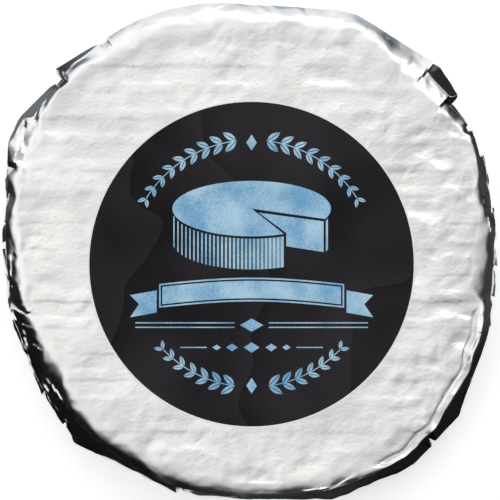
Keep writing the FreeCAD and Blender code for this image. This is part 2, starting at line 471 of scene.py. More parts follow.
# Where the spare foil stands out at the shoulder instead of lower down the side, how
# creased the foil is, which flaps are smooth, how far the face's edge is raised, and where
# the edge is rolled into a flat hem.
WING = ((0, 0.0), (23, 0.0), (27, 1.0), (163, 1.0), (168, 0.0), (350, 0.0))
CREASING = (
    (0, 0.5), (10, 0.7), (17, 1.4), (28, 1.3), (33, 0.25), (62, 0.2), (72, 0.35), (136, 0.4),
    (141, 0.8), (150, 2.0), (163, 2.2), (174, 0.6), (186, 0.5), (189, 1.2), (200, 0.9), (220, 0.8),
    (228, 0.3), (245, 0.15), (284, 0.15), (290, 0.6), (300, 0.8), (330, 0.6), (350, 0.3),
)
SMOOTH_FLAP = (
    (0, 0.0), (36.5, 0.0), (38, 0.7), (45.5, 0.7), (46, 0.0), (124, 0.0), (127, 0.9), (147.5, 0.9),
    (149.5, 0.0),
)
RAISED_EDGE = (
    (0, 0.0), (30, 0.1), (40, 0.3), (62, 0.5), (100, 0.75), (140, 0.6), (165, 0.1), (200, 0.0),
    (300, 0.0),
)
HEM = ((0, 0.0), (299, 0.0), (303, 0.9), (330, 1.0), (338, 1.25), (344, 1.25), (346.5, 0.0))
# Dents at the shoulder, soft on the inside with a sharp outer lip, and ridges where the
# foil is pinched, which have a negative depth: (angle, radius, half length, half width,
# turn from the rim's direction, depth).
DENTS = (
    (169.5, 92.6, 6.0, 1.9, -8.0, 0.9), (201.5, 89.4, 5.6, 2.6, -14.0, 0.9),
    (215, 88.7, 6.8, 2.2, 2.0, 0.8), (183.5, 89.6, 5.0, 1.4, -4.0, 0.5),
    (198.4, 89.8, 3.2, 0.5, 52.0, -0.7), (203.2, 89.9, 4.8, 0.45, 34.0, -0.8),
    (188.5, 91.6, 2.4, 0.5, 30.0, -0.6), (212, 93.2, 7.0, 0.7, -3.0, -0.9),
    (285.5, 93.6, 5.0, 0.5, -8.0, -0.6), (292, 92.2, 6.0, 2.0, 10.0, 0.4),
    (6, 91.6, 4.0, 0.5, 5.0, -0.5), (336.5, 90.4, 6.5, 2.0, 3.0, 0.5),
    (272, 84.6, 11.0, 3.2, -3.0, 0.22), (342, 84.6, 13.0, 6.0, 0.0, 0.30),
    (19, 84.0, 10.0, 6.0, 4.0, 0.26),
)
# The straight ridge where the foil is pulled across one corner: where it lies, how far
# round it goes in radians, where it fades out, and how far it keeps inside the outline.
CHAMFER_ANGLE = 43.8
CHAMFER_DISTANCE = 87.4
CHAMFER_REACH = 0.6
CHAMFER_FADE = (0.50, 0.37)
CHAMFER_INSET = 2.5
# How the face's edge wavers: how far, how many waves round the wheel, and their start.
WAVER = ((0.5, 13, 1.0), (0.4, 29, 4.0), (0.25, 47, 0.0))
# The hem's width, and the crease inside it as two hollows: how deep and how wide. Then
# how far the foil takes to turn up out of it, and how it rises over the hem.
HEM_WIDTH = 2.1
HEM_HOLLOWS = ((0.4, 6.0), (0.75, 1.8))
HEM_TURN = 0.7
HEM_RISE = 0.25
HEM_SLOPE = 0.11


def face_edge(angle):
    """Radius at which the face starts to curl down. The foil pulled across one corner
    makes a straight ridge there."""
    turn = np.radians(angle)
    waver = sum(size * np.sin(waves * turn + start) for size, waves, start in WAVER)
    curled = tight_radius(angle) - round_the_wheel(SHOULDER, angle) + waver
    away = np.radians(np.mod(angle - CHAMFER_ANGLE + 180, 360) - 180)
    ridge = CHAMFER_DISTANCE / np.maximum(np.cos(away), 0.05)
    on_ridge = np.where(np.abs(away) < CHAMFER_REACH, ridge, 1e3)
    limit = np.minimum(on_ridge, tight_radius(angle) - CHAMFER_INSET)
    near = soft_step(*CHAMFER_FADE, np.abs(away))
    return curled * (1 - near) + limit * near


def edge_relief(angle, q):
    """Height added near the face's edge: the raised edge, and the flat-rolled hem with a
    crease inside it. q is the distance out past the edge."""
    raised = round_the_wheel(RAISED_EDGE, angle) * soft_step(-7.5, -0.5, q)
    hem = round_the_wheel(HEM, angle)
    t = q + np.maximum(HEM_WIDTH * hem, 0.5)
    hollow = sum(depth * np.clip(1 + t / wide, 0, 1) ** 1.5 for depth, wide in HEM_HOLLOWS)
    dip = -hollow * (1 - np.clip(t / HEM_TURN, 0, 1))
    rolled = HEM_RISE * np.clip(t / HEM_TURN, 0, 1) + HEM_SLOPE * np.clip(t - HEM_TURN, 0, 2)
    return raised + hem * (dip + rolled) * soft_step(1.5, 0.0, q)


def dents(x, y):
    """Height of the dents and pinched ridges at the shoulder."""
    height = np.zeros_like(x)
    for angle, radius, half_length, half_width, turn, depth in DENTS:
        heading = math.radians(angle + 90 + turn)
        at_x, at_y = polar(radius, angle)
        from_x, from_y = x - at_x, y - at_y
        along = (from_x * math.cos(heading) + from_y * math.sin(heading)) / half_length
        outwards = (from_x * math.sin(heading) - from_y * math.cos(heading)) / half_width
        taper = np.clip(1 - along * along, 0, 1)
        lip = 0.75 if depth > 0 else 0.0
        sunk = soft_step(-1.0, lip, outwards) * (1 - soft_step(lip, 1.0, outwards))
        height -= depth * taper * sunk
    return height


# ---------------------------------------------------------------- the foil shell
# The whole sheet as one closed shell: the face, the curl of the shoulder, the pleated
# side, the heel and the underside to its middle.

BELLY = 12.0
HEEL_WIDTH = 8.0
UNDERSIDE = 0.7
RINGS_UNDER_LABEL = (10.0, 28.0, 44.0, 55.0, 60.5)
FACE_RINGS = 42
SHOULDER_RINGS = 30
HEEL_RINGS = 11
UNDERSIDE_RINGS = (82.0, 77.0, 70.0, 62.0, 53.0, 43.0, 33.0, 23.0, 14.0, 6.0)
FACE_RING_CROWDING = 0.82
UNDER_LABEL_DROP = 1.2
UNDERSIDE_EDGE = 86.0
TURN_DOWN = 0.6
SIDE_LENGTH = 15.0
FLAP_FADE = 9.0
FOIL_CREASE = 16
# How much of a pleat's lean there is, how far the side is drawn in between the shoulder
# and the belly, on plain side and where the foil stands out, and how far tucked foil
# drops there. Then how far creases move the foil out and up.
LEAN_SHARE = 0.6
DRAWN_IN = 0.4
WING_DRAWN_IN = 0.5
WING_DROP = 1.6
CREASE_OUT = 0.45
CREASE_OUT_BELOW = 0.55
CREASE_UP = 0.9
# The fields of facets that the creases are made of: the seed, how wide and how deep a
# facet is, and from where to where down the side the field goes.
CREASE_FIELDS = {
    "tangential": (21, 15.0, 4.0, -8.0, 40.0),
    "upright": (22, 7.0, 12.0, -8.0, 60.0),
    "fine": (23, 3.4, 3.0, -14.0, 60.0),
    "broad": (24, 19.0, 9.0, -8.0, 60.0),
    "lengthwise": (25, 7.0, 1.3, -8.0, 8.0),
    "planes": (26, 15.0, 7.0, -8.0, 60.0),
}
CREASE_DEPTHS = {
    "tangential": 0.75, "upright": 0.75, "fine": 0.30, "broad": 0.8, "lengthwise": 0.4, "planes": 0.35,
}
CREASE_SLANTS = {"tangential": 1.2, "broad": -0.8, "planes": -1.0}
FINE_EVERYWHERE = 0.03
FINE_ON_WING = 0.16
BROAD_EVERYWHERE = 0.15


def creasing(fields, angle, s, q, level):
    """Depth of the foil's creases. q is the distance out past the face's edge, and level
    is 0 on the face, 1 where the foil turns down, 2 at the belly and 3 at the heel."""

    def crease(name):
        return facet_height(fields[name], s + CREASE_SLANTS.get(name, 0.0) * q, q)

    deep = CREASE_DEPTHS
    size = round_the_wheel(CREASING, angle)
    wing = round_the_wheel(WING, angle)
    on_side = soft_step(1.1, 1.6, level)
    out = q - 0.2 * round_the_wheel(SHOULDER, angle)
    long_share = soft_step(-3.0, 4.0, out) * (1 - 0.6 * on_side)
    depth = deep["tangential"] * size * long_share * crease("tangential")
    broad_share = soft_step(-1.0, 3.0, out) * (1 - 0.6 * on_side)
    depth += deep["broad"] * (BROAD_EVERYWHERE + size) * broad_share * crease("broad") * (1 - wing)
    depth += deep["upright"] * soft_step(0.8, 1.5, level) * crease("upright")
    depth += deep["planes"] * wing * soft_step(0.2, 3.0, q) * crease("planes")
    fine_share = (deep["fine"] + FINE_ON_WING * wing) * size * soft_step(-2.0, 4.0, out)
    depth += (FINE_EVERYWHERE + fine_share) * crease("fine")
    hem_share = soft_step(-HEM_WIDTH, -HEM_WIDTH + 0.5, q) * soft_step(1.5, 0.0, q)
    depth += deep["lengthwise"] * round_the_wheel(HEM, angle) * hem_share * crease("lengthwise")
    flap = soft_step(0.83, 1.0, level) * soft_step(2.2, 2.0, level)
    return depth * (1 - round_the_wheel(SMOOTH_FLAP, angle) * flap)


def shell_mesh(name, rings, ends, crease):
    """A closed shell of rings of points, with a point in the middle of its first and its
    last ring. Edges bent by more than `crease` degrees stay sharp."""
    around = len(rings[0])
    a = np.arange(around)
    b = (a + 1) % around
    faces = []
    for j in range(len(rings) - 1):
        near, far = j * around, (j + 1) * around
        faces += np.stack([near + a, far + a, far + b, near + b], axis=1).tolist()
    first, last = len(rings) * around, (len(rings) - 1) * around
    faces += [(first, int(i), int(k)) for i, k in zip(a, b)]
    faces += [(first + 1, int(last + k), int(last + i)) for i, k in zip(a, b)]
    mesh = bpy.data.meshes.new(name)
    mesh.from_pydata((np.concatenate([*rings, ends]) * MM).tolist(), [], faces)
    mesh.shade_smooth()
    mesh.set_sharp_from_angle(angle=math.radians(crease))
    return mesh


def build_foil_mesh():
    """The foil, ring by ring from under the label to the middle of the underside."""
    flat, folded, reach, gap, top, lean = foil_columns()
    count = len(flat)
    outline = tight_radius(folded) + reach
    middle = np.array([line.max() + line.min() for line in polar(outline, folded)]) / 2
    fields = {name: facet_field(*sizes) for name, sizes in CREASE_FIELDS.items()}
    rings, pressed = [], []
    ray = np.array(polar(1.0, flat))
    face_rim = face_edge(flat) * ray - middle[:, None]
    edge_drop = FACE_LEVEL - dome(*face_rim) - BELLY

    def add_ring(x, y, z, satin):
        rings.append(np.stack([x, y, z], axis=1))
        pressed.append(np.broadcast_to(satin, count))

    def add_face_ring(share):
        inner = LABEL_MIDDLE[:, None] + RINGS_UNDER_LABEL[-1] * ray
        x, y = inner + (face_rim - inner) * share
        q = -np.hypot(*(face_rim - inner)) * (1 - share)
        z = FACE_LEVEL - dome(x, y) + face_relief(x, y) + dents(x, y)
        z += edge_relief(flat, q) + creasing(fields, flat, np.radians(flat) * UNROLLED_RADIUS, q, 0 * q)
        add_ring(x, y, z, 1 - 0.3 * soft_step(-3.0, 0.0, q))

    def add_side_ring(curl, below):
        """curl: 0 at the face's edge, 1 at the belly; below: 0 at the belly, 1 at the heel."""
        fall = min(curl / TURN_DOWN, 1.0)
        turned = max((curl - TURN_DOWN) / (1 - TURN_DOWN), 0.0)
        under = math.radians(90 * below)
        wing = round_the_wheel(WING, flat)
        drop = round_the_wheel(FALL, flat)
        rounded = round_the_wheel(ROUNDING, flat)
        bent = np.where(fall < rounded, fall * fall / 2 / rounded, fall - rounded / 2)
        z = BELLY + edge_drop - drop * bent / (1 - rounded / 2)
        z = z - (edge_drop - drop) * turned
        if below > 0:
            z = np.full(count, UNDERSIDE + (BELLY - UNDERSIDE) * (1 - math.sin(under)))
        fold = soft_step(0.0, 6.0, top - z)
        low_down = np.clip((top - z) / FLAP_FADE, 0, 1)
        standing = np.maximum(low_down, wing if below == 0 else 0 * wing)
        at = flat + (folded - flat) * fold + lean * (BELLY - z) / BELLY * fold * LEAN_SHARE
        tight, edge = tight_radius(at), face_edge(at)
        share = round_the_wheel(SHARE, at)
        width = (tight + reach * standing - edge) * share
        if below > 0:
            radius = tight - HEEL_WIDTH * (1 - math.cos(under))
            radius = radius + reach * standing * math.cos(under) ** 0.7
        else:
            radius = edge + width * fall + width / share * (1 - share) * turned
            radius = radius - (DRAWN_IN + WING_DRAWN_IN * wing) * math.sin(math.pi * turned)
            z = z + WING_DROP * np.minimum(gap, 0) * fold * wing * (1 - turned)
        radius = radius + gap * fold
        q = width * fall + SIDE_LENGTH * turned + SIDE_LENGTH * below
        depth = creasing(fields, at, np.radians(at) * UNROLLED_RADIUS, q, fall + turned + below + 0 * q)
        outwards = CREASE_OUT * fall + CREASE_OUT_BELOW * turned
        radius = radius + depth * outwards * math.cos(under)
        z = z + depth * (CREASE_UP * (1 - turned) if below == 0 else -math.sin(under))
        x, y = np.array(polar(radius, at)) - middle[:, None]
        fade = float(np.clip(1 - 2.5 * curl, 0, 1))
        z = z + face_relief(x, y) * fade + edge_relief(flat, q) + dents(x, y) * (1 - turned)
        add_ring(x, y, np.maximum(z, 0.05), 0.7 * float(np.clip(1 - 2.4 * curl, 0, 1)))

    def add_underside_ring(distance):
        fold = soft_step(18.0, 50.0, np.full(count, distance))
        at = flat + (folded + lean * LEAN_SHARE - flat) * fold
        radius = (tight_radius(at) - HEEL_WIDTH) * distance / UNDERSIDE_EDGE
        q = np.full(count, 34.0 + (UNDERSIDE_EDGE - distance) * 0.25)
        creases = facet_height(fields["upright"], np.radians(at) * UNROLLED_RADIUS, q)
        z = UNDERSIDE - gap * fold * 0.8 + 0.25 * fold * creases
        x, y = np.array(polar(radius, at)) - middle[:, None]
        add_ring(x, y, np.maximum(z, 0.02), 0.3)

    for radius in RINGS_UNDER_LABEL[:-1]:
        x, y = LABEL_MIDDLE[:, None] + polar(radius, flat)
        add_ring(x, y, FACE_LEVEL - UNDER_LABEL_DROP - dome(x, y) + face_relief(x, y), 1.0)
    for j in range(FACE_RINGS + 1):
        add_face_ring((j / FACE_RINGS) ** FACE_RING_CROWDING)
    for j in range(1, SHOULDER_RINGS + 1):
        add_side_ring(j / SHOULDER_RINGS, 0)
    for j in range(1, HEEL_RINGS + 1):
        add_side_ring(1, j / HEEL_RINGS)
    for distance in UNDERSIDE_RINGS:
        add_underside_ring(distance)

    ends = [[*LABEL_MIDDLE, FACE_LEVEL - UNDER_LABEL_DROP], [0, 0, UNDERSIDE]]
    mesh = shell_mesh("foil", rings, ends, FOIL_CREASE)
    layer = mesh.attributes.new("pressed", "FLOAT", "POINT")
    layer.data.foreach_set("value", np.concatenate([*pressed, [1.0, 0.0]]).astype(np.float32))
    return mesh


# The foil's colours: dull, bright, and the painted shade in the hole of a prick. Then the depth
# of its grain, in metres, and how the grain is turned.
FOIL_DULL = (0.74, 0.735, 0.73, 1)
FOIL_BRIGHT = (0.99, 0.985, 0.975, 1)
FOIL_PRICK_SHADE = (0.44, 0.43, 0.42, 1)
FOIL_GRAIN = 0.00022
FOIL_GRAIN_TURN = -50


def feed(node, inputs):
    """Sets a node's inputs, each to a plain value or from another node's socket."""
    for key, value in dict(inputs).items():
        if isinstance(value, bpy.types.NodeSocket):
            node.id_data.links.new(value, node.inputs[key])
        else:
            node.inputs[key].default_value = value


def add_node(tree, kind, inputs=(), **settings):
    """A new node with its settings and inputs."""
    node = tree.nodes.new(kind)
    for name, value in settings.items():
        setattr(node, name, value)
    feed(node, inputs)
    return node


def maths(tree, operation, *values):
    """What a Math node makes of sockets or plain numbers."""
    return add_node(tree, "ShaderNodeMath", enumerate(values), operation=operation).outputs[0]


def map_range(tree, value, span, results=(0.0, 1.0), **settings):
    """A value mapped from one span of numbers to another, and held at the ends."""
    inputs = {"Value": value, "From Min": span[0], "From Max": span[1]}
    inputs.update({"To Min": results[0], "To Max": results[1]})
    return add_node(tree, "ShaderNodeMapRange", inputs, **settings).outputs["Result"]


def mix(tree, share, first, second):
    """A colour between two others."""
    inputs = {"Fac": share, "Color1": first, "Color2": second}
    return add_node(tree, "ShaderNodeMixRGB", inputs).outputs["Color"]


def clouds(tree, place, scale, detail):
    """Soft random tones, from 0 to 1."""
    inputs = {"Vector": place, "Scale": scale, "Detail": detail}
    return add_node(tree, "ShaderNodeTexNoise", inputs).outputs["Fac"]


def new_material(name):
    """A material, its node tree and the node of its surface."""
    material = bpy.data.materials.new(name)
    material.use_nodes = True
    return material, material.node_tree, material.node_tree.nodes["Principled BSDF"]


def place_on(tree):
    """The place of each point on the piece."""
    return add_node(tree, "ShaderNodeTexCoord").outputs["Object"]


def held(tree, name):
    """A value that the mesh holds at each of its points."""
    return add_node(tree, "ShaderNodeAttribute", attribute_name=name).outputs


def foil_material():
    """Aluminium foil: satin where it is pressed on the cheese, brighter where creased."""
    material, tree, surface = new_material("foil")
    place = place_on(tree)
    tone = mix(tree, clouds(tree, place, 34.0, 3.0), FOIL_DULL, FOIL_BRIGHT)
    pressed = held(tree, "pressed")["Fac"]
    slant = add_node(tree, "ShaderNodeMapping", {
        "Vector": place, "Rotation": (0, 0, math.radians(FOIL_GRAIN_TURN)), "Scale": (0.75, 1.25, 1.0),
    })
    bump = add_node(tree, "ShaderNodeBump", {
        "Strength": map_range(tree, pressed, (0.65, 1.0), (0.08, 0.6)),
        "Distance": FOIL_GRAIN,
        "Height": clouds(tree, slant.outputs["Vector"], 620.0, 4.0),
    })
    feed(surface, {
        "Metallic": 1.0,
        # A prick's middle takes painted shade: a darker colour stands in for the dark of its hole.
        "Base Color": mix(tree, held(tree, "hole_shade")["Fac"], tone, FOIL_PRICK_SHADE),
        "Roughness": map_range(tree, pressed, (0.0, 1.0), (0.17, 0.31)),
        "Normal": bump.outputs["Normal"],
    })
    return material


foil = set_up("foil", build_foil_mesh())
foil.data.materials.append(foil_material())
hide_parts("wrapped_wheel")
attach(foil, "root")

# ---------------------------------------------------------------- the paper label
# A round of coated paper, printed near black but for a thin white edge. It is glued to
# the foil a little off the middle of the face, and bridges the foil's small relief.

LABEL_LIFT = 0.22
LABEL_EDGE = 0.6
LABEL_SKIRT = 0.6
LABEL_COLUMNS = 240
LABEL_RINGS = 40
LABEL_CREASE = 40
BLACK_DEEP = (0.0045, 0.0040, 0.0062, 1)
BLACK_SMOKY = (0.027, 0.024, 0.0285, 1)
PAPER_WHITE = (0.98, 0.975, 0.96, 1)


def label_height(x, y):
    """Height of the label's paper: it follows the foil, and bridges what is small."""
    return FACE_LEVEL + LABEL_LIFT - dome(x, y) + broad_relief(x, y)


def build_label_mesh():
    """The round of paper, its edge turned down to the foil, with the edge left white."""
    inner = np.linspace(2.0, LABEL_ACROSS / 2 - LABEL_EDGE, LABEL_RINGS)
    angle = np.linspace(0, 360, LABEL_COLUMNS, endpoint=False)
    rings = []
    for radius in [*inner, LABEL_ACROSS / 2]:
        x, y = LABEL_MIDDLE[:, None] + polar(radius, angle)
        rings.append(np.stack([x, y, label_height(x, y)], axis=1))
    rings.append(rings[-1] - [0, 0, LABEL_SKIRT])
    middle = [*LABEL_MIDDLE, float(label_height(*[np.array([v]) for v in LABEL_MIDDLE])[0])]
    ends = [middle, [middle[0], middle[1], middle[2] - LABEL_SKIRT]]
    mesh = shell_mesh("label_paper", rings, ends, LABEL_CREASE)
    for k, polygon in enumerate(mesh.polygons):
        on_edge = LABEL_RINGS - 1 <= k // LABEL_COLUMNS < LABEL_RINGS + 1
        polygon.material_index = 1 if on_edge else 0
    return mesh


def black_paper():
    """Coated black paper with faint smoky fields and a fine grain."""
    material, tree, surface = new_material("label_black")
    place = place_on(tree)
    smoke = add_node(tree, "ShaderNodeTexWave", {
        "Vector": place, "Scale": 5.0, "Distortion": 9.0, "Detail": 1.0, "Detail Scale": 4.0,
    }, wave_profile="SAW")
    drift = maths(tree, "MULTIPLY_ADD", smoke.outputs["Fac"], 0.28, clouds(tree, place, 22.0, 2.0))
    speckled = maths(tree, "MULTIPLY_ADD", clouds(tree, place, 1900.0, 2.0), 0.5, drift)
    feed(surface, {
        "Base Color": mix(tree, map_range(tree, speckled, (0.62, 1.12)), BLACK_DEEP, BLACK_SMOKY),
        "Roughness": 0.42,
        "Specular IOR Level": 0.1,
    })
    return material


def white_paper():
    """The paper's bare cut edge."""
    material, _, surface = new_material("label_edge")
    feed(surface, {"Base Color": PAPER_WHITE, "Roughness": 0.5})
    return material


label = set_up("label_paper", build_label_mesh())
label.data.materials.append(black_paper())
label.data.materials.append(white_paper())
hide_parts("label")
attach(label, "root")

# ---------------------------------------------------------------- pin pricks
# The foil for a ripening cheese is pricked through on a slanting lattice so that it can
# breathe. Each prick is a small pit with a raised rim, and its middle is painted darker as
# painted shade for the hole. Geometry Nodes lays the lattice on the foil, clear of the label.

PRICK_PROFILE = ((0.15, 0.01), (0.26, 0.035), (0.44, 0.025), (0.72, -0.03))
PRICK_SIDES = 9
PRICK_STEP = Vector((11.7, -1.64, 0)) * MM
PRICK_NEXT_ROW = Vector((-4.85, -4.85, 0)) * MM
PRICK_FIRST = Vector((-48.9, 65.5, 0)) * MM
PRICK_FACE_RADIUS = 86.0 * MM
PRICK_LABEL_RADIUS = 63.6 * MM
PRICK_STRAY = 0.4 * MM
PRICK_SMALLEST = 0.6
PRICK_LARGEST = 1.1
PRICK_SEED = 5
LATTICE_COLUMNS = 40
LATTICE_ROWS = 80
DROP_FROM = 0.1

prick_points = [(0.0, 0.0, 0.0)]
for reach, rise in PRICK_PROFILE:
    for i in range(PRICK_SIDES):
        x, y = polar(reach * MM, 360 * i / PRICK_SIDES)
        prick_points.append((x, y, rise * MM))
prick_faces = [(0, 1 + i, 1 + (i + 1) % PRICK_SIDES) for i in range(PRICK_SIDES)]
for first in range(1, 1 + PRICK_SIDES * (len(PRICK_PROFILE) - 1), PRICK_SIDES):
    for i in range(PRICK_SIDES):
        here, there, k = first + i, first + PRICK_SIDES + i, (i + 1) % PRICK_SIDES
        prick_faces.append((here, there, first + PRICK_SIDES + k, first + k))
prick_mesh = bpy.data.meshes.new("one_prick")
prick_mesh.from_pydata(prick_points, [], prick_faces)
prick_mesh.shade_smooth()
# The prick's middle is marked for painted shade: a darker foil colour stands in for the hole.
prick_hole_shade = prick_mesh.attributes.new("hole_shade", "FLOAT", "POINT")
for i in range(1 + PRICK_SIDES):
    prick_hole_shade.data[i].value = 1.0
one_prick = bpy.data.objects.new("one_prick", prick_mesh)


def new_tree(name, made, inputs):
    """A Geometry Nodes tree with named inputs, and their sockets inside it."""
    tree = bpy.data.node_groups.new(name, "GeometryNodeTree")
    tree.interface.new_socket(name=made, in_out="OUTPUT", socket_type="NodeSocketGeometry")
    for socket, kind in inputs.items():
        tree.interface.new_socket(name=socket, in_out="INPUT", socket_type="NodeSocket" + kind)
    return tree, tree.nodes.new("NodeGroupInput").outputs


def end_tree(tree, instances, material):
    """Turns a tree's instances to real mesh of one material, and puts that out."""
    real = add_node(tree, "GeometryNodeRealizeInstances", {"Geometry": instances})
    dressed = add_node(tree, "GeometryNodeSetMaterial", {
        "Geometry": real.outputs["Geometry"], "Material": material,
    })
    add_node(tree, "NodeGroupOutput", {0: dressed.outputs["Geometry"]})


def plain_mesh(tree, values):
    """The plain mesh that a tree makes of the values of its named inputs."""
    maker = set_up("maker", bpy.data.meshes.new("maker"))
    layer = maker.modifiers.new("tree", "NODES")
    layer.node_group = tree
    for socket in tree.interface.items_tree:
        if socket.in_out == "INPUT":
            layer[socket.identifier] = values[socket.name]
    bpy.context.view_layer.update()
    graph = bpy.context.evaluated_depsgraph_get()
    mesh = bpy.data.meshes.new_from_object(maker.evaluated_get(graph))
    bpy.data.objects.remove(maker)
    return mesh


def vectors(operation, first, second=None, result="Vector"):
    """What a Vector Math node of the lattice makes of its inputs."""
    inputs = {0: first}
    if second is not None:
        inputs["Scale" if operation == "SCALE" else 1] = second
    return add_node(lattice, "ShaderNodeVectorMath", inputs, operation=operation).outputs[result]


lattice, given = new_tree("prick_lattice", "Pricks", {
    "Foil": "Object", "Prick": "Object", "Foil Material": "Material", "Step": "Vector",
    "Next Row": "Vector", "First": "Vector", "Label Centre": "Vector", "Label Radius": "Float",
    "Face Radius": "Float", "Seed": "Int",
})
# The lattice: a plain grid, slanted by the two steps, with each point a little astray.
here = add_node(lattice, "GeometryNodeInputPosition").outputs[0]
grid = add_node(lattice, "GeometryNodeMeshGrid", {
    "Size X": LATTICE_COLUMNS, "Size Y": LATTICE_ROWS,
    "Vertices X": LATTICE_COLUMNS + 1, "Vertices Y": LATTICE_ROWS + 1,
})
split = add_node(lattice, "ShaderNodeSeparateXYZ", {0: here}).outputs
along = vectors("SCALE", given["Step"], split["X"])
down = vectors("SCALE", given["Next Row"], split["Y"])
spot = vectors("ADD", vectors("ADD", along, down), given["First"])
stray = add_node(lattice, "FunctionNodeRandomValue", {
    0: (-PRICK_STRAY, -PRICK_STRAY, 0), 1: (PRICK_STRAY, PRICK_STRAY, 0), "Seed": given["Seed"],
}, data_type="FLOAT_VECTOR")
laid = add_node(lattice, "GeometryNodeSetPosition", {
    "Geometry": grid.outputs["Mesh"], "Position": vectors("ADD", spot, stray.outputs[0]),
})
# Points on the label or past the face go, and the rest drop on the foil.
from_label = vectors("DISTANCE", here, given["Label Centre"], "Value")
from_middle = vectors("LENGTH", here, result="Value")
on_label = maths(lattice, "LESS_THAN", from_label, given["Label Radius"])
past_face = maths(lattice, "GREATER_THAN", from_middle, given["Face Radius"])
kept = add_node(lattice, "GeometryNodeDeleteGeometry", {
    "Geometry": laid.outputs["Geometry"], "Selection": maths(lattice, "MAXIMUM", on_label, past_face),
})
foil_info = add_node(lattice, "GeometryNodeObjectInfo", {"Object": given["Foil"]})
drop = add_node(lattice, "GeometryNodeRaycast", {
    "Target Geometry": foil_info.outputs["Geometry"],
    "Source Position": vectors("ADD", here, (0, 0, DROP_FROM)),
    "Ray Direction": (0, 0, -1), "Ray Length": 2 * DROP_FROM,
})
on_foil = add_node(lattice, "GeometryNodeSetPosition", {
    "Geometry": kept.outputs["Geometry"], "Position": drop.outputs["Hit Position"],
})
lean = add_node(lattice, "FunctionNodeAlignRotationToVector", {
    "Vector": drop.outputs["Hit Normal"],
}, axis="Z")
size = add_node(lattice, "FunctionNodeRandomValue", {
    2: PRICK_SMALLEST, 3: PRICK_LARGEST, "Seed": given["Seed"],
})
prick_info = add_node(lattice, "GeometryNodeObjectInfo", {"Object": given["Prick"]})
pricks = add_node(lattice, "GeometryNodeInstanceOnPoints", {
    "Points": on_foil.outputs["Geometry"], "Instance": prick_info.outputs["Geometry"],
    "Rotation": lean.outputs["Rotation"], "Scale": size.outputs[1],
})
end_tree(lattice, pricks.outputs["Instances"], given["Foil Material"])

pin_pricks = set_up("pin_pricks", plain_mesh(lattice, {
    "Foil": foil, "Prick": one_prick, "Foil Material": foil.data.materials[0],
    "Step": PRICK_STEP, "Next Row": PRICK_NEXT_ROW, "First": PRICK_FIRST,
    "Label Centre": Vector((*LABEL_MIDDLE, 0)) * MM, "Label Radius": PRICK_LABEL_RADIUS,
    "Face Radius": PRICK_FACE_RADIUS, "Seed": PRICK_SEED,
}))
bpy.data.objects.remove(one_prick)
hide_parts("wrapped_wheel")
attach(pin_pricks, "root")

# ---------------------------------------------------------------- the label's print
# Pale blue ink on the black paper: an engraved wheel of cheese with a wedge cut out of
# it, a blank ribbon, rules with diamonds, and sprays of leaves. Each shape is a thin
# layer of ink that follows the paper.

INK_THICKNESS = 0.13
INK_SUNK = -0.1
# Shapes are cut into squares this far across. A cut this near a corner goes through it.
INK_CUT = 1.4
INK_SNAP = 0.001
INK_BLUE = (0.17, 0.42, 0.68, 1)
INK_PALE = (0.50, 0.74, 0.92, 1)


def ink_shape(name, outlines):
    """A layer of ink in the shape of the outlines, in millimetres from the label's
    middle."""
    shape = bmesh.new()
    for outline in outlines:
        shape.faces.new([shape.verts.new((x, y, 0)) for x, y in outline]).normal_update()
    return lay_ink(name, shape)


def lay_ink(name, shape):
    """Cuts a flat shape small enough to follow the paper, gives it its thickness and
    lays it on the label."""
    bmesh.ops.triangulate(shape, faces=shape.faces[:])
    steps = int(LABEL_ACROSS / 2 / INK_CUT)
    for axis in ((1, 0, 0), (0, 1, 0)):
        for k in range(-steps, steps + 1):
            geometry = shape.verts[:] + shape.edges[:] + shape.faces[:]
            cut = Vector(axis) * k * INK_CUT
            bmesh.ops.bisect_plane(
                shape, geom=geometry, dist=INK_SNAP, plane_co=cut, plane_no=axis
            )
    for face in shape.faces:
        face.normal_update()
        if face.normal.z < 0:
            face.normal_flip()
    upper = shape.verts[:]
    rim = [edge for edge in shape.edges if edge.is_boundary]
    under = bmesh.ops.duplicate(shape, geom=upper + shape.edges[:] + shape.faces[:])
    lower = {v: under["vert_map"][v] for v in upper}
    down = set(lower.values())
    for face in [item for item in under["geom"] if isinstance(item, bmesh.types.BMFace)]:
        face.normal_flip()
    for edge in rim:
        loop = edge.link_loops[0]
        a, b = loop.vert, loop.link_loop_next.vert
        shape.faces.new((b, a, lower[a], lower[b]))
    at = np.array([v.co.xy for v in shape.verts])
    x, y = at[:, 0] + LABEL_MIDDLE[0], at[:, 1] + LABEL_MIDDLE[1]
    levels = label_height(x, y)
    for v, x_at, y_at, level in zip(shape.verts, x, y, levels):
        lift = INK_SUNK if v in down else INK_THICKNESS
        v.co = Vector((x_at, y_at, level + lift)) * MM
    mesh = bpy.data.meshes.new(name)
    shape.to_mesh(mesh)
    shape.free()
    ink = set_up(name, mesh)
    mesh.materials.append(blue_ink)
    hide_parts("label")
    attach(ink, "root")
    return ink


blue_ink, tree, surface = new_material("blue_ink")
place = place_on(tree)
speckled = maths(
    tree, "MULTIPLY_ADD", clouds(tree, place, 1700.0, 2.0), 0.6, clouds(tree, place, 75.0, 2.0)
)
feed(surface, {
    "Base Color": mix(tree, map_range(tree, speckled, (0.60, 0.96)), INK_BLUE, INK_PALE),
    "Roughness": 0.45,
    "Specular IOR Level": 0.2,
})


def arc(centre, across, up, start, end, steps):
    """Points along part of an ellipse, from one angle to another."""
    turns = [math.radians(start + (end - start) * i / steps) for i in range(steps + 1)]
    return [(centre[0] + across * math.cos(t), centre[1] + up * math.sin(t)) for t in turns]


def diamond(x, y, wide, tall):
    """A diamond by its middle and its half sizes."""
    return [(x - wide, y), (x, y - tall), (x + wide, y), (x, y + tall)]


def bar(left, right, low, high):
    """An upright rectangle."""
    return [(left, low), (right, low), (right, high), (left, high)]


def mirrored(outline):
    """The same outline on the other side of the label."""
    return [(-x, y) for x, y in outline]


